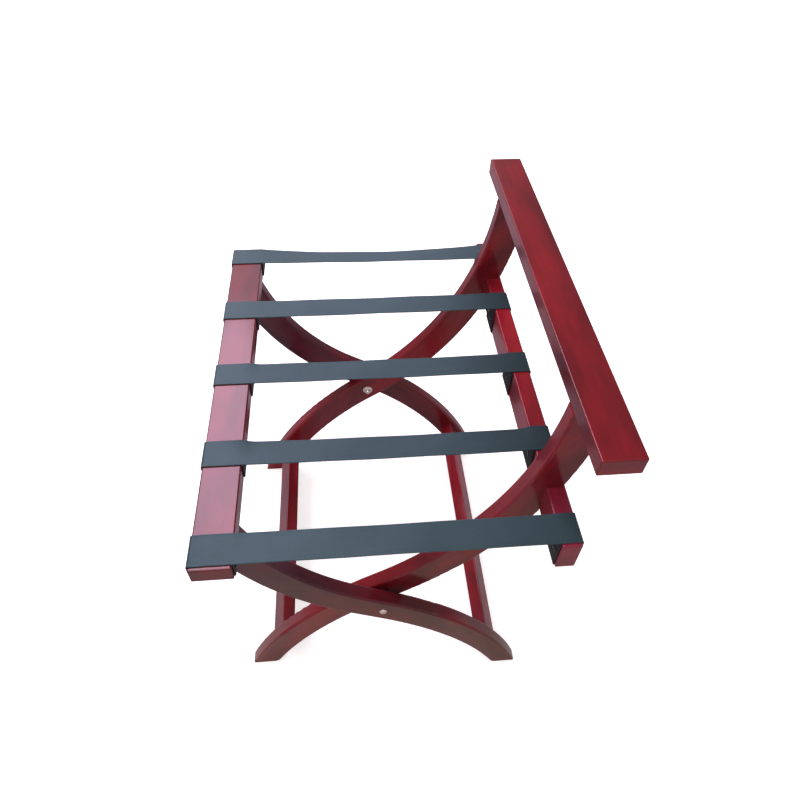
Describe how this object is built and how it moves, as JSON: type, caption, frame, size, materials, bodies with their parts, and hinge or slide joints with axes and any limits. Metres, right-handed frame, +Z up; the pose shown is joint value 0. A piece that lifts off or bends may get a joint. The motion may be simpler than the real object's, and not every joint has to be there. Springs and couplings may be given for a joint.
{
  "type": "folding luggage bench",
  "caption": "Folding wooden luggage bench with crossed curved legs, webbing straps over two rails and a raised backrest board.",
  "frame": {"origin": "on the floor, under the middle of the bench's bounding box", "axes": "+X along the rails, +Y from the open front towards the backrest, +Z up"},
  "size_m": [0.6, 0.4754, 0.655],
  "materials": {
    "lacquered_wood": "glossy mahogany-red lacquer",
    "webbing": "tight flat-woven slate webbing",
    "bright_nickel": "bright nickel plate",
    "black_nylon": "matte",
    "staple_wire": "plain wire",
    "zinc_steel": "zinc plate",
    "beech_dowel": "bare beech"
  },
  "bodies": {
    "back_frame": {"back_leg_left": "lacquered_wood", "back_leg_right": "lacquered_wood", "rear_rail": "lacquered_wood", "backrest_board": "lacquered_wood", "front_stretcher": "lacquered_wood", "strap_1": "webbing", "strap_2": "webbing", "strap_3": "webbing", "strap_4": "webbing", "strap_5": "webbing", "pivot_bolt_left": "bright_nickel", "pivot_nut_left": "bright_nickel", "pivot_washer_left": "bright_nickel", "pivot_spacer_left": "black_nylon", "pivot_bolt_right": "bright_nickel", "pivot_nut_right": "bright_nickel", "pivot_washer_right": "bright_nickel", "pivot_spacer_right": "black_nylon", "rear_strap_staples": "staple_wire", "rear_rail_screws": "zinc_steel", "backrest_dowels": "beech_dowel", "front_stretcher_dowels": "beech_dowel"},
    "front_frame": {"front_leg_left": "lacquered_wood", "front_leg_right": "lacquered_wood", "front_rail": "lacquered_wood", "rear_stretcher": "lacquered_wood", "front_strap_staples": "staple_wire", "front_rail_dowels": "beech_dowel", "rear_stretcher_dowels": "beech_dowel"}
  },
  "joints": [
    {"name": "fold", "type": "hinge", "parent": "back_frame", "child": "front_frame", "pos_m": [0, -0.01502, 0.2425], "axis": [-1, 0, 0], "range_deg": [0, 62], "deforming": ["strap_1", "strap_2", "strap_3", "strap_4", "strap_5"]}
  ]
}
